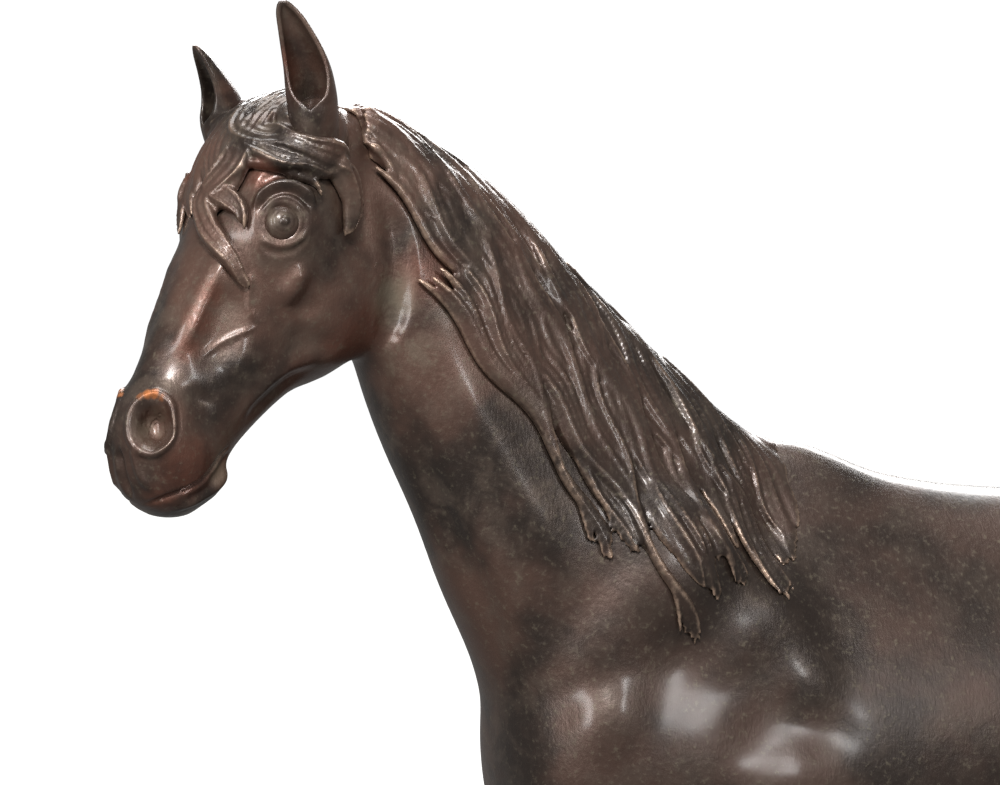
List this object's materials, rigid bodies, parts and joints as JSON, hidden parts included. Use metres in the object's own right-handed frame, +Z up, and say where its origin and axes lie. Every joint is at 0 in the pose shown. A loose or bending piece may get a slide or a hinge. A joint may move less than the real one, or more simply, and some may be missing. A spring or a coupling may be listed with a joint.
{
  "type": "horse statuette",
  "caption": "Standing horse statuette in dark patinated bronze, cast hollow in sections, pinned at sleeve joints and bolted through the hooves to a low stepped terrace.",
  "frame": {"origin": "middle of the terrace's underside, on the felt, where the statuette stands", "axes": "+Z up; the head points to -X; the horse's left side, where the mane falls, is -Y"},
  "size_m": [0.4812, 0.131, 0.457],
  "materials": {
    "bronze_patina": "waxed dark brown patina on cast bronze, rubbed reddish on high points",
    "bronze_hair": "dark brown patina, chased ridges rubbed bright",
    "bronze_terrace": "dark brown patina, slightly rough ground",
    "felt": "short dark green felt",
    "steel_fasteners": "plain turned steel"
  },
  "bodies": {
    "root": {"torso_casting": "bronze_patina", "neck_casting": "bronze_patina", "head_casting": "bronze_patina", "left_ear": "bronze_patina", "right_ear": "bronze_patina", "forelock": "bronze_hair", "mane": "bronze_hair", "tail": "bronze_hair", "near_foreleg": "bronze_patina", "off_foreleg": "bronze_patina", "near_hindleg": "bronze_patina", "off_hindleg": "bronze_patina", "neck_joint_pins": "bronze_patina", "head_joint_pins": "bronze_patina", "foreleg_joint_pins": "bronze_patina", "hindleg_joint_pins": "bronze_patina", "tail_joint_pin": "bronze_patina", "core_plug": "bronze_patina", "terrace": "bronze_terrace", "felt_liner": "felt", "hoof_studs": "steel_fasteners", "stud_washers": "steel_fasteners", "stud_nuts": "steel_fasteners"}
  },
  "joints": []
}
